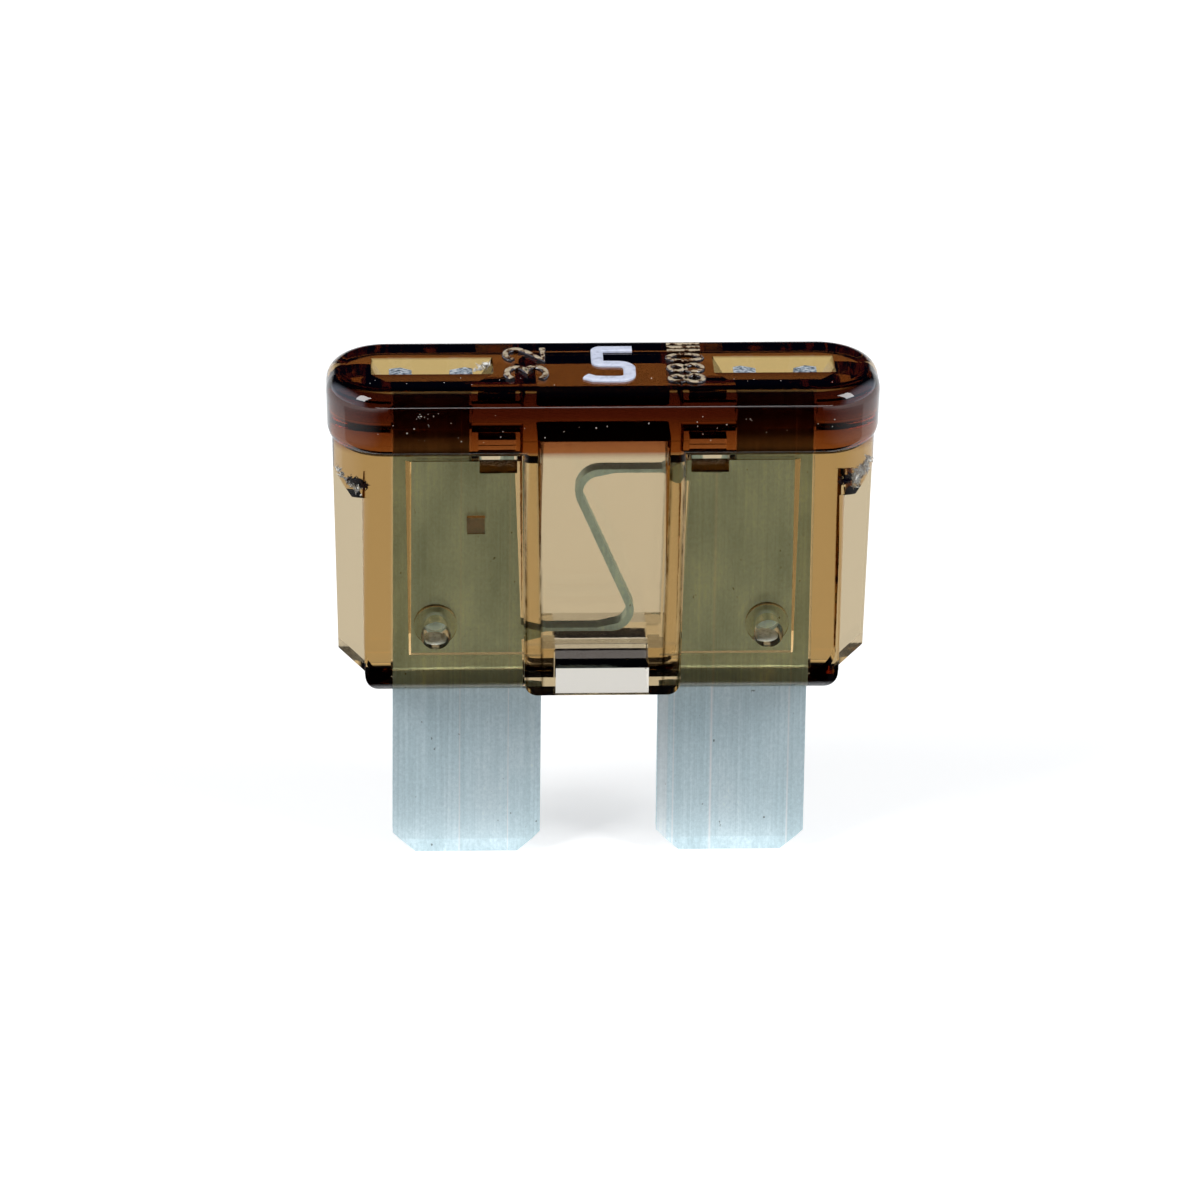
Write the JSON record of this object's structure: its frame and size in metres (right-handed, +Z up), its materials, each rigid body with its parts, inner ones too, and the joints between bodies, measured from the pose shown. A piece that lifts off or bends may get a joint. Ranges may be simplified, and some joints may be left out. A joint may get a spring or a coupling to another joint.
{
  "type": "blade fuse",
  "caption": "Standard-size automotive blade fuse: clear tinted housing over one stamped strip with plug-in blades and a thin curved link.",
  "frame": {"origin": "middle between the two blades, level with their tips, halfway through the strip's thickness", "axes": "+Z up from the blade tips to the head, X across the two blades, -Y towards the face that the picture shows"},
  "size_m": [0.019, 0.0052, 0.0185],
  "materials": {
    "housing": "gloss, clear brown",
    "fuse_strip": "satin zinc, rolled"
  },
  "bodies": {
    "root": {"housing": "housing", "fuse_strip": "fuse_strip"}
  },
  "joints": []
}
